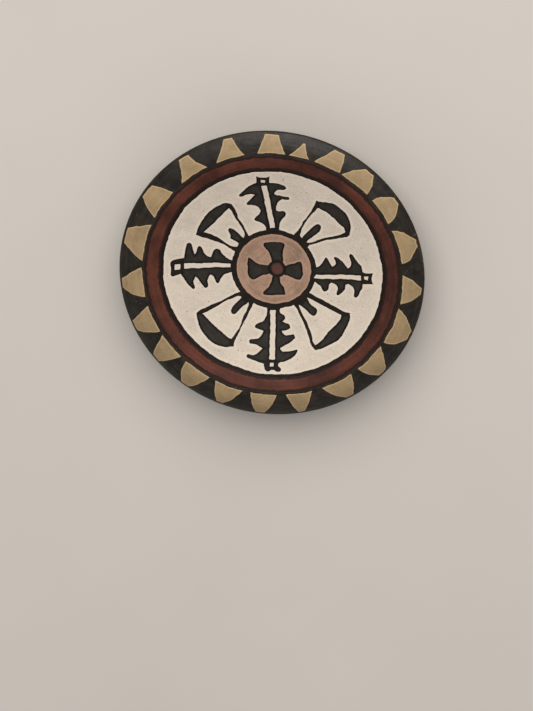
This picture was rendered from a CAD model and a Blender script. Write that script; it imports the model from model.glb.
import math

import bpy
import numpy as np
from bpy.props import FloatProperty, FloatVectorProperty, PointerProperty
from mathutils import Matrix, Vector
from mathutils.geometry import delaunay_2d_cdt
from mathutils.kdtree import KDTree


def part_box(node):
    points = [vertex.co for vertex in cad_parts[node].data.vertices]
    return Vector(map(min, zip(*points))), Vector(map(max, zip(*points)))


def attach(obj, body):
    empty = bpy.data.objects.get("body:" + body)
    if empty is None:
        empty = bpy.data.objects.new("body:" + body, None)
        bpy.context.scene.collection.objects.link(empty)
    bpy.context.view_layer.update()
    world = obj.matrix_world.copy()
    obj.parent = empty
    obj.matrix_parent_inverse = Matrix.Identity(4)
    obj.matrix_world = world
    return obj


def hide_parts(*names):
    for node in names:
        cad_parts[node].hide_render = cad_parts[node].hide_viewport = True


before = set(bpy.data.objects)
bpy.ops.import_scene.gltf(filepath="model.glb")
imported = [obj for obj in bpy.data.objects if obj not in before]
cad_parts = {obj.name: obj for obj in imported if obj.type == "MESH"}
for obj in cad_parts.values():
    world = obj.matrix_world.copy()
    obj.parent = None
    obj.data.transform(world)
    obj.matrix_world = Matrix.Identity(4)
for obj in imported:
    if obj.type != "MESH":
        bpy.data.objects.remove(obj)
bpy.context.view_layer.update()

bl_info = {
    "name": "Round Ink Cake",
    "version": (1, 0, 0),
    "blender": (4, 5, 0),
    "location": "View3D > Sidebar > Ink Cake",
    "description": "A dished ink cake with mineral colours laid into its face",
    "category": "Object",
}

MM = 0.001
CAKE_LOW, CAKE_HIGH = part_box("ink_cake")
# Rows of points along an outline, as shares of the rounded edge's width
EDGE_ROWS = (0.25, 0.6, 1.0)
FLOOR_STEP = 1.2 * MM
# Least clearance of a row from its outline, of the spread, and of a floor's spread, as shares
ROW_CLEAR = 0.93
SPREAD_CLEAR = 0.4
FLOOR_CLEAR = 0.3
# Points closer than this share of a step count as one
SAME_POINT = 0.3
# Points tested in one go
CHUNK = 1000
SHARP = math.radians(50)
# Least upward share of a face's normal that counts as the face of a fill
FACES_UP = 0.3
# Wavelength and share of each wave in a brushed outline, and in a dried face
OUTLINE_WAVES = ((5 * MM, 1.0), (1.7 * MM, 0.6), (0.8 * MM, 0.35))
FACE_WAVES = ((3.2 * MM, 1.0), (1.1 * MM, 0.5))
# Seeds of the wander along X and along Y, and of the body's face
HAND_SEEDS = (11, 14)
BODY_SEED = 40
# Steps along each arc of the side
LIP_STEPS = 10
FLANK_STEPS = 26
BASE_EDGE_STEPS = 7
# Half the floor's width and how far the camera sees, in metres
FLOOR_HALF = 3.0
VIEW_REACH = 20
SIDES = ("right", "top", "left", "bottom")
FANS = ("upper_right", "upper_left", "lower_left", "lower_right")
TEETH = [name for name in sorted(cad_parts) if name.startswith("rim_tooth_")]
WHITE_PIECES = (
    ["white_ground"]
    + ["quill_" + side for side in SIDES]
    + ["quill_tip_" + side for side in SIDES]
    + ["fan_window_" + fan for fan in FANS]
)
CHARCOAL_PIECES = (
    ["vane_a_" + side for side in SIDES]
    + ["vane_b_" + side for side in SIDES]
    + ["fan_crescent_" + fan for fan in FANS]
    + ["fan_bar_" + fan for fan in FANS]
    + ["cross_arm_" + side for side in SIDES]
)
HUB_PIECES = ["hub_ground", "hub_dot"]
DISH_PIECES = WHITE_PIECES + CHARCOAL_PIECES + HUB_PIECES


# --------------------------------------------------------------------------------------------------
# Sizes and colours


class CakeSizes(bpy.types.PropertyGroup):
    """The section of the cake, as pressed, and how finely its surface is modelled"""

    radius: FloatProperty(name="Radius", description="Half the cake's width",
                          default=(CAKE_HIGH.x - CAKE_LOW.x) / 2, unit="LENGTH", precision=5)
    height: FloatProperty(name="Height", description="Base to the crest of the rim",
                          default=CAKE_HIGH.z, unit="LENGTH", precision=5)
    dish_depth: FloatProperty(name="Dish depth", description="Crest down to the middle of the dish",
                              default=4.0 * MM, unit="LENGTH", precision=5)
    crest_in: FloatProperty(name="Crest inset", description="Crest's distance in from the outline",
                            default=4.4 * MM, unit="LENGTH", precision=5)
    crest_radius: FloatProperty(name="Crest radius", description="Rounding over the crest",
                                default=7.0 * MM, unit="LENGTH", precision=5)
    lip_radius: FloatProperty(name="Lip radius", description="Rounding at the widest outline",
                              default=0.5 * MM, unit="LENGTH", precision=5)
    lip_turn: FloatProperty(name="Lip turn", description="How far the lip turns under",
                            default=math.radians(24), subtype="ANGLE")
    flank_radius: FloatProperty(name="Flank radius", description="Curve of the flank under the lip",
                                default=30.0 * MM, unit="LENGTH", precision=5)
    base_edge: FloatProperty(name="Base edge", description="Rounding between flank and base",
                             default=1.2 * MM, unit="LENGTH", precision=5)
    fill_depth: FloatProperty(name="Fill depth", description="Depth of a colour's pocket",
                              default=0.35 * MM, unit="LENGTH", precision=5)
    edge_round: FloatProperty(name="Edge rounding", description="How far a fill's edge rolls down",
                              default=0.05 * MM, unit="LENGTH", precision=5)
    edge_width: FloatProperty(name="Edge width", description="Width of a fill's rolled edge",
                              default=0.14 * MM, unit="LENGTH", precision=5)
    outline_step: FloatProperty(name="Outline step", description="Point spacing along an outline",
                                default=0.16 * MM, unit="LENGTH", precision=5)
    face_step: FloatProperty(name="Face step", description="Point spacing across a fill",
                             default=0.36 * MM, unit="LENGTH", precision=5)
    hand: FloatProperty(name="Hand wander", description="How far a brushed outline wanders",
                        default=0.08 * MM, unit="LENGTH", precision=5)
    fleck_density: FloatProperty(name="Flecks", description="Flecks for each square metre of field",
                                 default=70000.0)
    fleck_size: FloatProperty(name="Fleck size", description="Half the width of the largest fleck",
                              default=0.13 * MM, unit="LENGTH", precision=5)
    wave: FloatProperty(name="Surface wave", description="Height of the unevenness of the face",
                        default=0.02 * MM, unit="LENGTH", precision=5)


def tint(name, description, colour):
    """A colour setting, given in linear light"""
    return FloatVectorProperty(name=name, description=description, default=colour, size=3,
                               subtype="COLOR", min=0.0, max=1.0)


class CakeColours(bpy.types.PropertyGroup):
    """The mineral colours and inks"""

    body: tint("Pressed ink", "The cake itself", (0.0135, 0.0098, 0.0062))
    line: tint("Brushed ink", "The outlines", (0.010, 0.0066, 0.004))
    charcoal: tint("Charcoal", "Vanes, crescents, bars and cross", (0.021, 0.0165, 0.012))
    white: tint("White slip", "The field between the figures", (0.65, 0.555, 0.455))
    red: tint("Red slip", "The band", (0.086, 0.024, 0.013))
    pink: tint("Pink slip", "The hub's ground", (0.35, 0.215, 0.145))
    dot: tint("Dot", "The hub's dot", (0.10, 0.035, 0.024))
    fleck: tint("Flecks", "Flecks dried on the white", (0.22, 0.15, 0.11))
    scuff: tint("Scuffs", "Rubbed places on the ink", (0.16, 0.145, 0.13))
    tan: tint("Tan slip", "The teeth of the border", (0.345, 0.238, 0.124))


class StageSettings(bpy.types.PropertyGroup):
    """Floor, camera and light"""

    floor: tint("Floor", "Plain pale floor", (0.64, 0.592, 0.538))
    tilt: FloatProperty(name="Tilt", description="Camera's lean from straight above",
                        default=math.radians(25), subtype="ANGLE")
    turn: FloatProperty(name="Turn", description="Heading of the camera's lean from +Y",
                        default=math.radians(14.6), subtype="ANGLE")
    distance: FloatProperty(name="Distance", description="Camera to cake", default=0.6, unit="LENGTH")
    lens: FloatProperty(name="Lens", description="Focal length in millimetres", default=155.2)
    aside: FloatProperty(name="Aside", description="How far right of the view's middle the cake lies",
                         default=1.02 * MM, unit="LENGTH", precision=5)
    above: FloatProperty(name="Above", description="How far above the view's middle the cake lies",
                         default=15.97 * MM, unit="LENGTH", precision=5)
    aim_height: FloatProperty(name="Aim height", description="Height of the point that is aimed at",
                              default=9.5 * MM, unit="LENGTH", precision=5)
    key_power: FloatProperty(name="Window power", description="Power of the large soft light",
                             default=8.9, unit="POWER")
    key_size: FloatProperty(name="Window size", description="Width of the soft light",
                            default=0.95, unit="LENGTH")
    key_tilt: FloatProperty(name="Window lean", description="Lean of the soft light from overhead",
                            default=math.radians(43), subtype="ANGLE")
    key_swing: FloatProperty(name="Window swing", description="Swing of the soft light from the camera",
                             default=math.radians(10), subtype="ANGLE")
    key_distance: FloatProperty(name="Window distance", description="Soft light to cake",
                                default=0.95, unit="LENGTH")
    key_colour: tint("Window colour", "Colour of the soft light", (1.0, 0.98, 0.95))
    sky: FloatProperty(name="Room light", description="Strength of the even light", default=0.38)
    sky_colour: tint("Room colour", "Colour of the even light", (0.99, 0.99, 1.0))


def sizes():
    return bpy.context.scene.ink_cake_sizes


def colours():
    return bpy.context.scene.ink_cake_colours


# --------------------------------------------------------------------------------------------------
# The cake's section


class Section:
    """The arcs of the cake's section: dish, crest, lip, flank and base edge, each tangent to the
    next, with the surface drawn in by a depth where one is given."""

    def __init__(self, s):
        self.s = s
        crest_at = s.radius - s.crest_in
        self.crest = np.array([crest_at, s.height - s.crest_radius])
        across = s.radius - s.lip_radius - crest_at
        self.lip = np.array([s.radius - s.lip_radius,
                             self.crest[1] + math.sqrt((s.crest_radius - s.lip_radius) ** 2 - across ** 2)])
        self.flank = self.lip - (s.flank_radius - s.lip_radius) * self.heading(-s.lip_turn)
        drop = self.flank[1] - s.base_edge
        self.base = np.array([self.flank[0] + math.sqrt((s.flank_radius - s.base_edge) ** 2 - drop ** 2),
                              s.base_edge])
        self.dish_radius = (crest_at ** 2 + s.dish_depth ** 2) / (2 * s.dish_depth) - s.crest_radius
        self.dish = np.array([0.0, s.height - s.dish_depth + self.dish_radius])
        to_crest = (self.crest - self.dish) / np.linalg.norm(self.crest - self.dish)
        self.dish_edge = to_crest[0]
        self.crest_turn = math.atan2(*(self.lip - self.crest)[::-1])
        self.lip_from = self.crest[0] + s.crest_radius * math.cos(self.crest_turn)
        self.flank_turn = -math.atan2(self.flank[1] - self.base[1], self.base[0] - self.flank[0])

    @staticmethod
    def heading(angle):
        return np.array([math.cos(angle), math.sin(angle)])

    def height(self, r, depth=0.0):
        """Height of the upper surface at distance r from the middle, drawn in by a depth"""
        r = np.asarray(r, float)
        ball = self.dish_radius + depth
        crest_radius = self.s.crest_radius - depth
        lip_radius = self.s.lip_radius - depth
        dish = self.dish[1] - np.sqrt(np.maximum(ball ** 2 - r ** 2, 0))
        crest = self.crest[1] + np.sqrt(np.maximum(crest_radius ** 2 - (r - self.crest[0]) ** 2, 0))
        lip = self.lip[1] + np.sqrt(np.maximum(lip_radius ** 2 - (r - self.lip[0]) ** 2, 0))
        return np.where(r < self.dish_edge * ball, dish, np.where(r <= self.lip_from, crest, lip))

    def underside(self):
        """Section points from the start of the lip, round under it and down to the base"""
        stretches = (
            (self.lip, self.s.lip_radius, self.crest_turn, -self.s.lip_turn, LIP_STEPS),
            (self.flank, self.s.flank_radius, -self.s.lip_turn, self.flank_turn, FLANK_STEPS),
            (self.base, self.s.base_edge, self.flank_turn, -math.pi / 2, BASE_EDGE_STEPS),
        )
        points = []
        for centre, radius, begin, end, count in stretches:
            for k in range(1, count + 1):
                points.append(centre + radius * self.heading(begin + (end - begin) * k / count))
        return points


# --------------------------------------------------------------------------------------------------
# Outlines


def top_loops(node):
    """Closed outlines of the CAD node's upper face, as arrays of x and y, in metres"""
    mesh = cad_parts[node].data
    co = np.empty(len(mesh.vertices) * 3)
    mesh.vertices.foreach_get("co", co)
    co = co.reshape(-1, 3)
    mesh.calc_loop_triangles()
    tris = np.array([t.vertices[:] for t in mesh.loop_triangles])
    _, first, same = np.unique(np.round(co * 1e6).astype(np.int64), axis=0, return_index=True,
                               return_inverse=True)
    co = co[first]
    tris = same.reshape(-1)[tris]
    cross = np.cross(co[tris[:, 1]] - co[tris[:, 0]], co[tris[:, 2]] - co[tris[:, 0]])
    area = np.linalg.norm(cross, axis=1)
    tris = tris[cross[:, 2] > FACES_UP * area + 1e-16]
    following = {}
    edges = set()
    for a, b, c in tris:
        edges.update(((a, b), (b, c), (c, a)))
    for a, b in edges:
        if (b, a) not in edges:
            following[a] = b
    loops = []
    while following:
        start, at = following.popitem()
        chain = [start]
        while at != start:
            chain.append(at)
            at = following.pop(at)
        loops.append(co[chain][:, :2])
    return loops


def smooth_loop(loop, step, corner=math.radians(38)):
    """The loop as a smooth curve through its points, which keeps its corners, with even steps"""
    count = len(loop)
    before, after = np.roll(loop, 1, 0), np.roll(loop, -1, 0)
    way_in, way_out = loop - before, after - loop
    turn = np.arctan2(way_in[:, 0] * way_out[:, 1] - way_in[:, 1] * way_out[:, 0],
                      (way_in * way_out).sum(1))
    sharp = np.abs(turn) > corner
    points = []
    for i in range(count):
        j = (i + 1) % count
        a = loop[i] if sharp[i] else loop[i - 1]
        d = loop[j] if sharp[j] else loop[(j + 1) % count]
        b, c = loop[i], loop[j]
        parts = max(1, round(np.linalg.norm(c - b) / step))
        for k in range(parts):
            t = k / parts
            points.append((2 * b + (c - a) * t + (2 * a - 5 * b + 4 * c - d) * t * t
                           + (3 * b - 3 * c + d - a) * t ** 3) / 2)
    return np.array(points)


def waves(points, wavelength, seed, count=7):
    """Smooth noise, mostly between -1 and 1, from a sum of plane waves"""
    draw = np.random.default_rng(seed)
    total = np.zeros(len(points))
    for _ in range(count):
        heading = draw.uniform(0, 2 * math.pi)
        length = wavelength * draw.uniform(0.7, 1.6)
        phase = draw.uniform(0, 2 * math.pi)
        along = points[:, 0] * math.cos(heading) + points[:, 1] * math.sin(heading)
        total += np.sin(2 * math.pi * along / length + phase)
    return total / math.sqrt(count * 2)


def layered_waves(points, layers, seed):
    """Waves of several lengths laid over each other, each with its own seed"""
    return sum(share * waves(points, length, seed + k) for k, (length, share) in enumerate(layers))


def by_hand(loop, s):
    """The loop as a hand would brush it: it wanders a little, the same way for both its sides"""
    away = [layered_waves(loop, OUTLINE_WAVES, seed) for seed in HAND_SEEDS]
    return loop + s.hand * np.stack(away, 1)


def brushed_loops(node, s):
    """The node's outlines, smoothed and brushed by hand"""
    loops = top_loops(node)
    if node == "red_band":
        loops = ring_edges(loops)
    return [by_hand(smooth_loop(loop, s.outline_step), s) for loop in loops]


def ring_edges(loops):
    """The outer and the inner edge of a ring, without the seams between them"""
    holes = [loop for loop in loops if signed_area(loop) < 0]
    return [max(loops, key=signed_area), max(holes, key=signed_area)]


def signed_area(loop):
    x, y = loop[:, 0], loop[:, 1]
    return 0.5 * np.sum(x * np.roll(y, -1) - y * np.roll(x, -1))


# --------------------------------------------------------------------------------------------------
# Plates: flat shapes meshed finely and laid on the cake


def inside(points, loops):
    """Which points lie inside the loops, counting crossings"""
    starts = np.concatenate(loops)
    ends = np.concatenate([np.roll(loop, -1, 0) for loop in loops])
    rise = ends[:, 1] - starts[:, 1]
    lean = (ends[:, 0] - starts[:, 0]) / np.where(rise == 0, 1, rise)
    result = np.zeros(len(points), bool)
    for low in range(0, len(points), CHUNK):
        x, y = points[low:low + CHUNK, :1], points[low:low + CHUNK, 1:]
        across = (starts[:, 1] > y) != (ends[:, 1] > y)
        left = x < starts[:, 0] + (y - starts[:, 1]) * lean
        result[low:low + CHUNK] = (across & left).sum(1) % 2 == 1
    return result


def clearance(points, loops):
    """Distance of each point from the nearest point of the loops"""
    outline = np.concatenate(loops)
    tree = KDTree(len(outline))
    for i, p in enumerate(outline):
        tree.insert((p[0], p[1], 0), i)
    tree.balance()
    return np.array([tree.find((p[0], p[1], 0))[2] for p in points])


def row_along(loop, depth):
    """The loop moved sideways into its own shape"""
    along = np.roll(loop, -1, 0) - np.roll(loop, 1, 0)
    along /= np.maximum(np.linalg.norm(along, axis=1, keepdims=True), 1e-12)
    return loop + depth * np.stack([-along[:, 1], along[:, 0]], 1)


def even_spread(loops, step):
    """Points of a triangular grid that lie inside the loops"""
    outline = np.concatenate(loops)
    low, high = outline.min(0), outline.max(0)
    row_step = step * math.sqrt(3) / 2
    j, i = np.mgrid[0:int((high[1] - low[1]) / row_step) + 1, 0:int((high[0] - low[0]) / step) + 1]
    grid = np.stack([low[0] + (i + 0.5 * (j % 2)) * step, low[1] + j * row_step], -1).reshape(-1, 2)
    return grid[inside(grid, loops)]


def thinned(points, gap):
    """The points without those that fall nearly on another"""
    _, first = np.unique(np.round(points / gap).astype(np.int64), axis=0, return_index=True)
    return points[np.sort(first)]


def filling_points(loops, s, step):
    """Points inside the loops: close rows along the outline, then an even spread"""
    found = []
    for share in EDGE_ROWS:
        depth = share * s.edge_width
        rows = np.concatenate([row_along(loop, depth) for loop in loops])
        found.append(rows[clearance(rows, loops) > ROW_CLEAR * depth])
    spread = even_spread(loops, step)
    if len(spread):
        found.append(spread[clearance(spread, loops) > s.edge_width + SPREAD_CLEAR * step])
    found = np.concatenate(found)
    return thinned(found[inside(found, loops)], SAME_POINT * s.outline_step)


def triangulate(loops, extra):
    """Points and triangles of the area inside the loops, and where each loop's points are"""
    edges, base = [], 0
    for loop in loops:
        edges += [(base + i, base + (i + 1) % len(loop)) for i in range(len(loop))]
        base += len(loop)
    points = np.concatenate(loops + [extra])
    middle = points.mean(0)
    given = [Vector(p) for p in (points - middle) / MM]
    verts, _, faces, origins, _, _ = delaunay_2d_cdt(given, edges, [], 0, 1e-6, True)
    verts = np.array([v[:] for v in verts]) * MM + middle
    place = np.zeros(len(points), int)
    for i, ids in enumerate(origins):
        for k in ids:
            place[k] = i
            verts[i] = points[k]
    faces = np.array([tuple(face) for face in faces])
    faces = faces[inside(verts[faces].mean(1), loops)]
    starts = np.cumsum([0] + [len(loop) for loop in loops])
    return verts, faces, [place[a:b] for a, b in zip(starts[:-1], starts[1:])]


class Shell:
    """Gathers the points and faces of one closed piece"""

    def __init__(self):
        self.points, self.faces, self.edge_mm = [], [], []
        self.count = 0

    def add(self, points, edge_mm):
        """Adds points and returns the number of the first one"""
        first = self.count
        self.points.append(np.asarray(points, float))
        self.edge_mm.append(np.broadcast_to(edge_mm, (len(points),)))
        self.count += len(points)
        return first

    def strip(self, upper, lower):
        """Quads between two closed rows of points; the upper row runs anticlockwise outside"""
        count = len(upper)
        for i in range(count):
            j = (i + 1) % count
            if upper[i] != upper[j]:
                self.faces.append((upper[i], lower[i], lower[j], upper[j]))

    def build(self, name, material):
        """Makes the object, in its place and riding on the cake's body"""
        points = np.concatenate(self.points)
        used = np.unique([i for face in self.faces for i in face])
        renumber = np.full(len(points), -1)
        renumber[used] = np.arange(len(used))
        mesh = bpy.data.meshes.new(name)
        mesh.from_pydata(points[used].tolist(), [], [[int(renumber[i]) for i in f] for f in self.faces])
        edge = mesh.attributes.new("edge_mm", "FLOAT", "POINT")
        edge.data.foreach_set("value", np.concatenate(self.edge_mm)[used])
        mesh.polygons.foreach_set("use_smooth", [True] * len(mesh.polygons))
        mesh.set_sharp_from_angle(angle=SHARP)
        mesh.materials.append(material)
        piece = bpy.data.objects.new(name, mesh)
        bpy.context.scene.collection.objects.link(piece)
        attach(piece, "root")
        return piece


def lay(flat, section, depth=0.0, lift=0.0):
    """Flat points carried up to the cake's surface"""
    return np.column_stack([flat, section.height(np.hypot(flat[:, 0], flat[:, 1]), depth) + lift])


def unevenness(flat, s, seed):
    """Slight waves that brushing and drying leave on the face. None rises above its true place."""
    return s.wave * np.minimum(layered_waves(flat, FACE_WAVES, seed) - 1, 0)


def top_face(shell, rolled, plain, section, s, step, seed):
    """The fine upper surface inside the loops. It rolls down along the rolled loops only, and
    returns where the points of each loop are."""
    loops = rolled + plain
    flat, faces, places = triangulate(loops, filling_points(loops, s, step))
    distance = clearance(flat, rolled)
    near = 1 - np.clip(distance / s.edge_width, 0, 1)
    near[np.concatenate(places[:len(rolled)])] = 1
    drop = s.edge_round * (1 - np.sqrt(1 - near ** 2))
    fade = 1 - near
    if plain:
        outer = clearance(flat, plain)
        fade = fade * np.clip(outer / MM, 0, 1)
        fade[np.concatenate(places[len(rolled):])] = 0
    first = shell.add(lay(flat, section, 0.0, fade * unevenness(flat, s, seed) - drop), distance / MM)
    shell.faces += [tuple(face) for face in faces + first]
    return [place + first for place in places]


def floor_face(shell, loops, section, s, up):
    """The plain surface at the bottom of a pocket or of a fill"""
    spread = even_spread(loops, FLOOR_STEP)
    if len(spread):
        spread = spread[clearance(spread, loops) > FLOOR_CLEAR * FLOOR_STEP]
    flat, faces, places = triangulate(loops, spread.reshape(-1, 2))
    first = shell.add(lay(flat, section, s.fill_depth), 0.0)
    order = faces if up else faces[:, ::-1]
    shell.faces += [tuple(face) for face in order + first]
    return [place + first for place in places]


def fill(node, material, seed, step=None):
    """A colour fill: a thin closed piece on the cake's surface, which stands for its CAD node"""
    s = sizes()
    section = Section(s)
    shell = Shell()
    loops = brushed_loops(node, s)
    tops = top_face(shell, loops, [], section, s, step or s.face_step, seed)
    floors = floor_face(shell, loops, section, s, up=False)
    for top, floor in zip(tops, floors):
        shell.strip(top, floor)
    piece = shell.build(node + "_fill", material)
    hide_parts(node)
    return piece


def circle(centre, radius, step):
    """An anticlockwise circle with points about a step apart"""
    count = round(2 * math.pi * radius / step)
    turn = np.arange(count) * 2 * math.pi / count
    return np.stack([centre[0] + radius * np.cos(turn), centre[1] + radius * np.sin(turn)], 1)


def cake_body(material):
    """The pressed cake: the land round the border, the pockets under the colours, flank and base"""
    s = sizes()
    section = Section(s)
    shell = Shell()
    disc = max(brushed_loops("red_band", s), key=signed_area)
    teeth = [loop for node in TEETH for loop in brushed_loops(node, s)]
    rim_out = section.lip_from
    rim = circle((0, 0), rim_out, s.outline_step * 2)
    pockets = [disc] + teeth
    holes = [loop[::-1] for loop in pockets]
    places = top_face(shell, holes, [rim], section, s, s.face_step, BODY_SEED)
    for pocket, place in zip(pockets, places):
        floor = floor_face(shell, [pocket], section, s, up=True)[0]
        shell.strip(place, floor[::-1])
    row = places[-1]
    for r, z in section.underside():
        ring = shell.add(np.column_stack([rim * (r / rim_out), np.full(len(rim), z)]), 1.0)
        ring = ring + np.arange(len(rim))
        shell.strip(row, ring)
        row = ring
    middle = shell.add([(0, 0, 0)], 1.0)
    for i in range(len(row)):
        shell.faces.append((row[(i + 1) % len(row)], row[i], middle))
    piece = shell.build("ink_cake_body", material)
    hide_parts("ink_cake")
    return piece


# --------------------------------------------------------------------------------------------------
# Flecks of dried colour, scattered by Geometry Nodes


def fleck_tree(material):
    """Geometry Nodes that lay small flat flecks on the upper faces of a fill, off its edges"""
    tree = bpy.data.node_groups.new("Flecks", "GeometryNodeTree")
    face = tree.interface
    face.new_socket("Geometry", in_out="INPUT", socket_type="NodeSocketGeometry")
    for label, value in (("Density", 60000.0), ("Smallest", 0.05 * MM), ("Largest", 0.16 * MM),
                         ("Edge clearance mm", 0.25)):
        face.new_socket(label, in_out="INPUT", socket_type="NodeSocketFloat").default_value = value
    face.new_socket("Seed", in_out="INPUT", socket_type="NodeSocketInt").default_value = 7
    face.new_socket("Geometry", in_out="OUTPUT", socket_type="NodeSocketGeometry")
    given = tree.nodes.new("NodeGroupInput").outputs
    edge = place_node(tree, "GeometryNodeInputNamedAttribute", {"Name": "edge_mm"}, data_type="FLOAT")
    clear = place_node(tree, "FunctionNodeCompare",
                       {0: edge.outputs["Attribute"], 1: given["Edge clearance mm"]},
                       data_type="FLOAT", operation="GREATER_THAN").outputs[0]
    points = place_node(tree, "GeometryNodeDistributePointsOnFaces",
                        {"Mesh": given["Geometry"], "Selection": clear, "Density": given["Density"],
                         "Seed": given["Seed"]}, distribute_method="RANDOM")
    ball = place_node(tree, "GeometryNodeMeshIcoSphere", {"Radius": 1.0, "Subdivisions": 2}).outputs[0]
    size = place_node(tree, "FunctionNodeRandomValue",
                      {2: given["Smallest"], 3: given["Largest"], "Seed": given["Seed"]},
                      data_type="FLOAT").outputs[1]
    flat = place_node(tree, "ShaderNodeCombineXYZ", {0: size, 1: size, 2: 0.03 * MM}).outputs[0]
    flecks = place_node(tree, "GeometryNodeInstanceOnPoints",
                        {"Points": points.outputs["Points"], "Instance": ball,
                         "Rotation": points.outputs["Rotation"], "Scale": flat}).outputs[0]
    whole = place_node(tree, "GeometryNodeRealizeInstances", {"Geometry": flecks}).outputs[0]
    done = place_node(tree, "GeometryNodeSetMaterial", {"Geometry": whole, "Material": material})
    place_node(tree, "NodeGroupOutput", {"Geometry": done.outputs[0]})
    return tree


def scatter_flecks(ground, s):
    """Runs the flecks' nodes on the white field, and keeps the result as a plain mesh"""
    carrier = bpy.data.objects.new("fleck_carrier", ground.data.copy())
    bpy.context.scene.collection.objects.link(carrier)
    material = dried_fleck()
    modifier = carrier.modifiers.new("Flecks", "NODES")
    modifier.node_group = fleck_tree(material)
    keys = {item.name: item.identifier for item in modifier.node_group.interface.items_tree
            if item.in_out == "INPUT"}
    modifier[keys["Density"]] = s.fleck_density
    modifier[keys["Largest"]] = s.fleck_size
    modifier[keys["Smallest"]] = s.fleck_size / 3
    graph = bpy.context.evaluated_depsgraph_get()
    mesh = bpy.data.meshes.new_from_object(carrier.evaluated_get(graph))
    bpy.data.objects.remove(carrier)
    mesh.name = "white_flecks"
    piece = bpy.data.objects.new("white_flecks", mesh)
    bpy.context.scene.collection.objects.link(piece)
    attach(piece, "root")


# --------------------------------------------------------------------------------------------------
# Shader parts that the finishes share


def place_node(tree, kind, inputs=None, **settings):
    """Adds a node, sets it up, and gives its inputs values or links"""
    node = tree.nodes.new(kind)
    for name, value in settings.items():
        setattr(node, name, value)
    for key, value in (inputs or {}).items():
        socket = node.inputs[key]
        if isinstance(value, bpy.types.NodeSocket):
            tree.links.new(value, socket)
        else:
            socket.default_value = value
    return node


def maths(tree, operation, *values):
    """The result of a Math node"""
    return place_node(tree, "ShaderNodeMath", dict(enumerate(values)), operation=operation).outputs[0]


def spread_out(tree, value, from_low, from_high, to_low=0.0, to_high=1.0):
    """A value moved smoothly from one range to another"""
    inputs = {"Value": value, "From Min": from_low, "From Max": from_high, "To Min": to_low,
              "To Max": to_high}
    return place_node(tree, "ShaderNodeMapRange", inputs, interpolation_type="SMOOTHSTEP").outputs[0]


def blend(tree, factor, first, second, mode="MIX"):
    """The colour of a Mix node"""
    mix = place_node(tree, "ShaderNodeMix", data_type="RGBA", blend_type=mode)
    for socket, value in ((mix.inputs[0], factor), (mix.inputs[6], first), (mix.inputs[7], second)):
        if isinstance(value, bpy.types.NodeSocket):
            tree.links.new(value, socket)
        else:
            socket.default_value = value
    return mix.outputs[2]


def noise(tree, vector, scale, detail=3.0, roughness=0.55):
    """The value of a Noise Texture"""
    inputs = {"Vector": vector, "Scale": scale, "Detail": detail, "Roughness": roughness}
    return place_node(tree, "ShaderNodeTexNoise", inputs).outputs[0]


def millimetres(tree):
    """Object coordinates in millimetres"""
    place = place_node(tree, "ShaderNodeTexCoord").outputs["Object"]
    return place_node(tree, "ShaderNodeVectorMath", {0: place, 3: 1 / MM}, operation="SCALE").outputs[0]


def new_group(name, inputs, outputs):
    """An empty node group with named number inputs and outputs"""
    tree = bpy.data.node_groups.new(name, "ShaderNodeTree")
    for label, value in inputs.items():
        socket = tree.interface.new_socket(label, in_out="INPUT", socket_type="NodeSocketFloat")
        socket.default_value = value
    for label in outputs:
        tree.interface.new_socket(label, in_out="OUTPUT", socket_type="NodeSocketFloat")
    return tree, tree.nodes.new("NodeGroupInput").outputs, tree.nodes.new("NodeGroupOutput").inputs


def mineral_grain():
    """Clouds of tone, powdery grain, and sparse specks, such as a ground mineral colour has"""
    if "Mineral grain" in bpy.data.node_groups:
        return bpy.data.node_groups["Mineral grain"]
    inputs = {"Cloud size": 4.0, "Grain size": 0.25, "Speck size": 0.5, "Speck amount": 0.1}
    tree, given, out = new_group("Mineral grain", inputs, ("Cloud", "Grain", "Speck"))
    at = millimetres(tree)
    cloud = noise(tree, at, maths(tree, "DIVIDE", 1.0, given["Cloud size"]), 4.0, 0.6)
    grain = noise(tree, at, maths(tree, "DIVIDE", 1.0, given["Grain size"]), 3.0, 0.65)
    cells = place_node(tree, "ShaderNodeTexVoronoi",
                       {"Vector": at, "Scale": maths(tree, "DIVIDE", 1.0, given["Speck size"])})
    draw = place_node(tree, "ShaderNodeSeparateColor", {0: cells.outputs["Color"]}).outputs[0]
    chosen = maths(tree, "LESS_THAN", draw, given["Speck amount"])
    ragged = maths(tree, "ADD", cells.outputs["Distance"], maths(tree, "MULTIPLY", grain, 0.25))
    dot = spread_out(tree, ragged, 0.34, 0.22)
    tree.links.new(spread_out(tree, cloud, 0.3, 0.7), out["Cloud"])
    tree.links.new(spread_out(tree, grain, 0.25, 0.75), out["Grain"])
    tree.links.new(maths(tree, "MULTIPLY", chosen, dot), out["Speck"])
    return tree


def ragged_edge():
    """A band of uneven width along the outline of a fill: 1 on the outline and 0 past the band"""
    if "Ragged edge" in bpy.data.node_groups:
        return bpy.data.node_groups["Ragged edge"]
    inputs = {"Width": 0.4, "Unevenness": 0.5, "Softness": 0.7}
    tree, given, out = new_group("Ragged edge", inputs, ("Mask",))
    distance = place_node(tree, "ShaderNodeAttribute", attribute_name="edge_mm").outputs["Fac"]
    sway = maths(tree, "SUBTRACT", noise(tree, millimetres(tree), 1.1, 4.0, 0.65), 0.5)
    sway = maths(tree, "MULTIPLY", maths(tree, "MULTIPLY", sway, given["Unevenness"]), 2.0)
    width = maths(tree, "MULTIPLY", given["Width"], maths(tree, "ADD", 1.0, sway))
    share = maths(tree, "DIVIDE", distance, width)
    inner = maths(tree, "SUBTRACT", 1.1, given["Softness"])
    tree.links.new(spread_out(tree, share, 1.1, inner), out["Mask"])
    return tree


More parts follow.
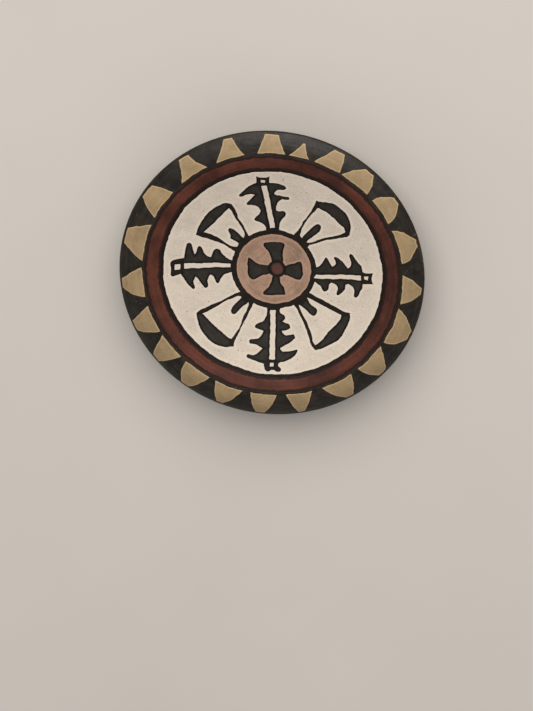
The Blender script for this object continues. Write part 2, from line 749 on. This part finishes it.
def ring_strokes():
    """Brush marks that run round the figure's middle"""
    if "Ring strokes" in bpy.data.node_groups:
        return bpy.data.node_groups["Ring strokes"]
    tree, given, out = new_group("Ring strokes", {"Turns": 5.0, "Width": 0.35}, ("Stroke",))
    middle = [value / MM for value in figure_middle()]
    from_middle = place_node(tree, "ShaderNodeVectorMath", {0: millimetres(tree), 1: (*middle, 0)},
                             operation="SUBTRACT").outputs[0]
    flat = place_node(tree, "ShaderNodeVectorMath", {0: from_middle, 1: (1, 1, 0)},
                      operation="MULTIPLY").outputs[0]
    radius = place_node(tree, "ShaderNodeVectorMath", {0: flat}, operation="LENGTH").outputs["Value"]
    heading = place_node(tree, "ShaderNodeVectorMath", {0: flat}, operation="NORMALIZE").outputs[0]
    round_it = place_node(tree, "ShaderNodeVectorMath", {0: heading, 3: given["Turns"]},
                          operation="SCALE").outputs[0]
    across = place_node(tree, "ShaderNodeCombineXYZ",
                        {2: maths(tree, "DIVIDE", radius, given["Width"])}).outputs[0]
    at = place_node(tree, "ShaderNodeVectorMath", {0: round_it, 1: across}).outputs[0]
    tree.links.new(spread_out(tree, noise(tree, at, 1.0, 3.0, 0.6), 0.3, 0.7), out["Stroke"])
    return tree


def straight_strokes():
    """Brush marks that run straight, at a given heading"""
    if "Straight strokes" in bpy.data.node_groups:
        return bpy.data.node_groups["Straight strokes"]
    tree, given, out = new_group("Straight strokes", {"Heading": 0.0, "Length": 5.0, "Width": 0.4},
                                 ("Stroke",))
    turned = place_node(tree, "ShaderNodeVectorRotate",
                        {"Vector": millimetres(tree), "Angle": given["Heading"]},
                        rotation_type="Z_AXIS").outputs[0]
    size = place_node(tree, "ShaderNodeCombineXYZ",
                      {0: given["Length"], 1: given["Width"], 2: given["Length"]}).outputs[0]
    at = place_node(tree, "ShaderNodeVectorMath", {0: turned, 1: size}, operation="DIVIDE").outputs[0]
    tree.links.new(spread_out(tree, noise(tree, at, 1.0, 3.0, 0.6), 0.3, 0.7), out["Stroke"])
    return tree


def scuffs():
    """Small rubbed places and short scratches, gathered in patches"""
    if "Scuffs" in bpy.data.node_groups:
        return bpy.data.node_groups["Scuffs"]
    tree, given, out = new_group("Scuffs", {"Amount": 0.5}, ("Mask",))
    at = millimetres(tree)
    patch = spread_out(tree, noise(tree, at, 0.12, 2.0, 0.5), 0.44, 0.64)
    bent = place_node(tree, "ShaderNodeVectorMath", {0: at, 1: (0.9, 2.6, 1.0)},
                      operation="MULTIPLY").outputs[0]
    marks = spread_out(tree, noise(tree, bent, 1.1, 5.0, 0.7), 0.6, 0.74)
    mask = maths(tree, "MULTIPLY", maths(tree, "MULTIPLY", patch, marks), given["Amount"])
    tree.links.new(mask, out["Mask"])
    return tree


def use_group(tree, group, **values):
    """Places a node group, with its inputs given by name"""
    node = place_node(tree, "ShaderNodeGroup", node_tree=group)
    for name, value in values.items():
        node.inputs[name.replace("_", " ").capitalize()].default_value = value
    return node.outputs


def opaque(colour, scale=1.0):
    return (*[min(channel * scale, 1.0) for channel in colour], 1.0)


# --------------------------------------------------------------------------------------------------
# Finishes


def slip(name, colour, deep=0.8, pale=1.15, edge=None, edge_width=0.3, uneven=0.6, softness=0.7,
         stroke=None, stroke_depth=0.25, speck=0.0, speck_size=0.5, scuff=0.0, roughness=0.6,
         relief=0.5, cloud_size=4.0, level=0.35):
    """A brushed mineral colour: clouded, grained, streaked by the brush and with its own edge"""
    material = bpy.data.materials.new(name)
    material.use_nodes = True
    tree = material.node_tree
    shader = tree.nodes["Principled BSDF"]
    grain = use_group(tree, mineral_grain(), cloud_size=cloud_size, grain_size=0.22,
                      speck_size=speck_size, speck_amount=speck)
    shade = blend(tree, grain["Cloud"], opaque(colour, deep), opaque(colour, pale))
    powder = spread_out(tree, grain["Grain"], 0.0, 1.0, 0.88, 1.1)
    shade = blend(tree, 1.0, shade, combine(tree, powder), "MULTIPLY")
    height = maths(tree, "MULTIPLY", grain["Grain"], 0.6)
    if stroke:
        marks = spread_out(tree, stroke(tree), 0.0, 1.0, 1 - stroke_depth, 1 + stroke_depth)
        shade = blend(tree, 1.0, shade, combine(tree, marks), "MULTIPLY")
        height = maths(tree, "ADD", height, marks)
    if edge:
        border = use_group(tree, ragged_edge(), width=edge_width, unevenness=uneven,
                           softness=softness)["Mask"]
        shade = blend(tree, border, shade, opaque(edge))
    if speck:
        shade = blend(tree, maths(tree, "MULTIPLY", grain["Speck"], 0.8), shade,
                      opaque(colours().line, 2.2))
    dull = spread_out(tree, grain["Grain"], 0.0, 1.0, roughness - 0.06, roughness + 0.08)
    if scuff:
        rubbed = use_group(tree, scuffs(), amount=scuff)["Mask"]
        shade = blend(tree, rubbed, shade, opaque(colours().scuff))
        dull = maths(tree, "ADD", dull, maths(tree, "MULTIPLY", rubbed, 0.2))
    tree.links.new(shade, shader.inputs["Base Color"])
    tree.links.new(dull, shader.inputs["Roughness"])
    shader.inputs["Specular IOR Level"].default_value = level
    bump = place_node(tree, "ShaderNodeBump",
                      {"Strength": relief, "Distance": 0.03 * MM, "Height": height})
    tree.links.new(bump.outputs[0], shader.inputs["Normal"])
    return material


def combine(tree, value):
    """A grey colour of a given value"""
    return place_node(tree, "ShaderNodeCombineColor", {0: value, 1: value, 2: value}).outputs[0]


def along_ring(turns, width):
    return lambda tree: use_group(tree, ring_strokes(), turns=turns, width=width)["Stroke"]


def along_line(heading, length, width):
    return lambda tree: use_group(tree, straight_strokes(), heading=heading, length=length,
                                  width=width)["Stroke"]


# --------------------------------------------------------------------------------------------------
# Operators


def figure_middle():
    """Middle of the painted figure, in metres: the red band is round about it"""
    low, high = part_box("red_band")
    return (low.x + high.x) / 2, (low.y + high.y) / 2


def build_fills(nodes, material, seed, step=None):
    """Builds the fills of several nodes that share a finish"""
    for i, node in enumerate(nodes):
        fill(node, material, seed + 2 * i, step)


class INKCAKE_OT_body(bpy.types.Operator):
    """Build the pressed black cake with its pockets"""

    bl_idname = "ink_cake.build_body"
    bl_label = "Cake"

    def execute(self, context):
        cake_body(pressed_ink())
        return {"FINISHED"}


class INKCAKE_OT_lines(bpy.types.Operator):
    """Brush the ink outlines between the colours"""

    bl_idname = "ink_cake.build_lines"
    bl_label = "Outlines"

    def execute(self, context):
        build_fills(["line_work"], brushed_ink(), 50, step=0.24 * MM)
        return {"FINISHED"}


class INKCAKE_OT_white(bpy.types.Operator):
    """Lay the white field, the fans' windows and the feathers' quills"""

    bl_idname = "ink_cake.build_white"
    bl_label = "White slip"

    def execute(self, context):
        build_fills(WHITE_PIECES, white_slip(), 100)
        return {"FINISHED"}


class INKCAKE_OT_band(bpy.types.Operator):
    """Lay the red band round the field"""

    bl_idname = "ink_cake.build_band"
    bl_label = "Red band"

    def execute(self, context):
        build_fills(["red_band"], red_slip(), 200)
        return {"FINISHED"}


class INKCAKE_OT_hub(bpy.types.Operator):
    """Lay the pink hub and its red dot"""

    bl_idname = "ink_cake.build_hub"
    bl_label = "Hub"

    def execute(self, context):
        build_fills(["hub_ground"], pink_slip(), 220)
        build_fills(["hub_dot"], red_dot(), 224, step=0.2 * MM)
        return {"FINISHED"}


class INKCAKE_OT_charcoal(bpy.types.Operator):
    """Lay the charcoal vanes, crescents, bars and cross"""

    bl_idname = "ink_cake.build_charcoal"
    bl_label = "Charcoal"

    def execute(self, context):
        build_fills(CHARCOAL_PIECES, charcoal_slip(), 300)
        return {"FINISHED"}


class INKCAKE_OT_teeth(bpy.types.Operator):
    """Lay the tan teeth of the border"""

    bl_idname = "ink_cake.build_teeth"
    bl_label = "Border teeth"

    def execute(self, context):
        build_fills(TEETH, tan_slip(), 400, step=0.28 * MM)
        return {"FINISHED"}


class INKCAKE_OT_flecks(bpy.types.Operator):
    """Scatter the small flecks that dried on the white field"""

    bl_idname = "ink_cake.build_flecks"
    bl_label = "Flecks"

    def execute(self, context):
        if "white_ground_fill" not in bpy.data.objects:
            raise RuntimeError("the white slip comes before the flecks that lie on it")
        scatter_flecks(bpy.data.objects["white_ground_fill"], sizes())
        return {"FINISHED"}


class INKCAKE_OT_stage(bpy.types.Operator):
    """Set the floor, the soft light and the camera"""

    bl_idname = "ink_cake.build_stage"
    bl_label = "Stage"

    def execute(self, context):
        st = context.scene.ink_cake_stage
        build_floor(st)
        build_lights(st)
        build_camera(st)
        return {"FINISHED"}


# --------------------------------------------------------------------------------------------------
# Finishes of this cake's own pieces


def pressed_ink():
    return slip("Pressed ink", colours().body, deep=0.6, pale=1.7, roughness=0.42, relief=0.8,
                cloud_size=2.4, scuff=1.0, stroke=along_ring(5.0, 0.5), stroke_depth=0.3, level=0.3)


def brushed_ink():
    return slip("Brushed ink", colours().line, deep=0.7, pale=1.6,
                edge=[c * 0.5 for c in colours().line], edge_width=0.2, roughness=0.5, relief=0.8,
                cloud_size=1.6, level=0.2)


def white_slip():
    return slip("White slip", colours().white, deep=0.92, pale=1.05,
                edge=[c * 1.08 for c in colours().white], edge_width=0.6, roughness=0.62,
                stroke=along_line(0.5, 5.0, 0.8), stroke_depth=0.02, speck=0.04, speck_size=0.6,
                cloud_size=6.0)


def red_slip():
    return slip("Red slip", colours().red, deep=0.5, pale=1.4, edge=[c * 0.22 for c in colours().red],
                edge_width=0.55, uneven=0.9, softness=0.45, stroke=along_ring(2.0, 0.5),
                stroke_depth=0.14, roughness=0.5, cloud_size=9.0, level=0.25)


def pink_slip():
    return slip("Pink slip", colours().pink, deep=0.78, pale=1.16, stroke=along_ring(2.0, 0.5),
                stroke_depth=0.08, edge=[c * 1.15 for c in colours().pink], edge_width=0.5,
                roughness=0.6, cloud_size=3.5, speck=0.03)


def red_dot():
    return slip("Red dot", colours().dot, deep=0.8, pale=1.2, edge=[c * 0.5 for c in colours().dot],
                edge_width=0.35, roughness=0.55)


def dried_fleck():
    return slip("Dried fleck", colours().fleck, deep=0.6, pale=1.5, cloud_size=2.0, roughness=0.6)


def charcoal_slip():
    return slip("Charcoal slip", colours().charcoal, deep=0.75, pale=1.3,
                edge=[c * 0.5 for c in colours().charcoal], edge_width=0.25,
                stroke=along_line(1.1, 3.0, 0.35), stroke_depth=0.12, roughness=0.5, cloud_size=2.0,
                scuff=0.3, level=0.3)


def tan_slip():
    return slip("Tan slip", colours().tan, deep=0.86, pale=1.08,
                edge=[c * 1.35 for c in colours().tan], edge_width=0.26, uneven=0.8,
                stroke=along_ring(2.0, 0.8), stroke_depth=0.04, roughness=0.58, cloud_size=3.0,
                speck=0.05, speck_size=0.6)


# --------------------------------------------------------------------------------------------------
# Stage


def build_floor(st):
    """A plain floor that runs out of sight"""
    mesh = bpy.data.meshes.new("floor")
    ends = ((-1, -1), (1, -1), (1, 1), (-1, 1))
    corners = [(x * FLOOR_HALF, y * FLOOR_HALF, 0) for x, y in ends]
    mesh.from_pydata(corners, [], [(0, 1, 2, 3)])
    material = bpy.data.materials.new("Plain floor")
    material.use_nodes = True
    tree = material.node_tree
    tone = spread_out(tree, noise(tree, millimetres(tree), 0.02), 0.0, 1.0, 0.97, 1.03)
    shade = blend(tree, 1.0, opaque(st.floor), combine(tree, tone), "MULTIPLY")
    shader = tree.nodes["Principled BSDF"]
    tree.links.new(shade, shader.inputs["Base Color"])
    shader.inputs["Roughness"].default_value = 0.9
    shader.inputs["Specular IOR Level"].default_value = 0.1
    mesh.materials.append(material)
    floor = bpy.data.objects.new("floor", mesh)
    bpy.context.scene.collection.objects.link(floor)


def lean_direction(st, tilt):
    """Direction that leans from straight up towards the camera's side"""
    return Vector((math.sin(tilt) * math.sin(st.turn), math.sin(tilt) * math.cos(st.turn), math.cos(tilt)))


def build_camera(st):
    """The camera, turned about its own axis by the same heading as its lean"""
    back = lean_direction(st, st.tilt)
    sideways = Vector((math.cos(st.turn), -math.sin(st.turn), 0))
    upward = back.cross(sideways)
    right = sideways * math.cos(st.turn) + upward * math.sin(st.turn)
    up = upward * math.cos(st.turn) - sideways * math.sin(st.turn)
    target = Vector((0, 0, st.aim_height)) - right * st.aside - up * st.above
    data = bpy.data.cameras.new("camera")
    data.lens = st.lens
    data.clip_end = VIEW_REACH
    camera = bpy.data.objects.new("camera", data)
    camera.matrix_world = Matrix.Translation(target + back * st.distance) @ Matrix(
        (right, up, back)).transposed().to_4x4()
    bpy.context.scene.collection.objects.link(camera)
    bpy.context.scene.camera = camera


def build_lights(st):
    """A large soft light on the camera's side, and even light from all round"""
    data = bpy.data.lights.new("window", "AREA")
    data.shape = "DISK"
    data.size = st.key_size
    data.energy = st.key_power
    data.color = st.key_colour
    lamp = bpy.data.objects.new("window", data)
    towards = Matrix.Rotation(st.key_swing, 3, "Z") @ lean_direction(st, st.key_tilt)
    lamp.location = towards * st.key_distance
    lamp.rotation_euler = towards.to_track_quat("Z", "Y").to_euler()
    bpy.context.scene.collection.objects.link(lamp)
    world = bpy.data.worlds.new("room")
    world.use_nodes = True
    background = world.node_tree.nodes["Background"]
    background.inputs["Color"].default_value = (*st.sky_colour, 1)
    background.inputs["Strength"].default_value = st.sky
    bpy.context.scene.world = world
    bpy.context.scene.view_settings.view_transform = "Standard"


# --------------------------------------------------------------------------------------------------
# Panel and main


OPERATORS = (
    INKCAKE_OT_body,
    INKCAKE_OT_lines,
    INKCAKE_OT_white,
    INKCAKE_OT_band,
    INKCAKE_OT_hub,
    INKCAKE_OT_charcoal,
    INKCAKE_OT_teeth,
    INKCAKE_OT_flecks,
    INKCAKE_OT_stage,
)


class INKCAKE_PT_panel(bpy.types.Panel):
    """Lists the steps that build the ink cake"""

    bl_label = "Round Ink Cake"
    bl_idname = "INKCAKE_PT_panel"
    bl_space_type = "VIEW_3D"
    bl_region_type = "UI"
    bl_category = "Ink Cake"

    def draw(self, context):
        for operator in OPERATORS:
            self.layout.operator(operator.bl_idname, text=operator.bl_label)


CLASSES = (CakeSizes, CakeColours, StageSettings, *OPERATORS, INKCAKE_PT_panel)


def register():
    for cls in CLASSES:
        bpy.utils.register_class(cls)
    bpy.types.Scene.ink_cake_sizes = PointerProperty(type=CakeSizes)
    bpy.types.Scene.ink_cake_colours = PointerProperty(type=CakeColours)
    bpy.types.Scene.ink_cake_stage = PointerProperty(type=StageSettings)


def unregister():
    del bpy.types.Scene.ink_cake_stage
    del bpy.types.Scene.ink_cake_colours
    del bpy.types.Scene.ink_cake_sizes
    for cls in reversed(CLASSES):
        bpy.utils.unregister_class(cls)


def main():
    """Builds every piece and the stage"""
    register()
    for operator in OPERATORS:
        family, name = operator.bl_idname.split(".")
        getattr(getattr(bpy.ops, family), name)()


if __name__ == "__main__":
    main()
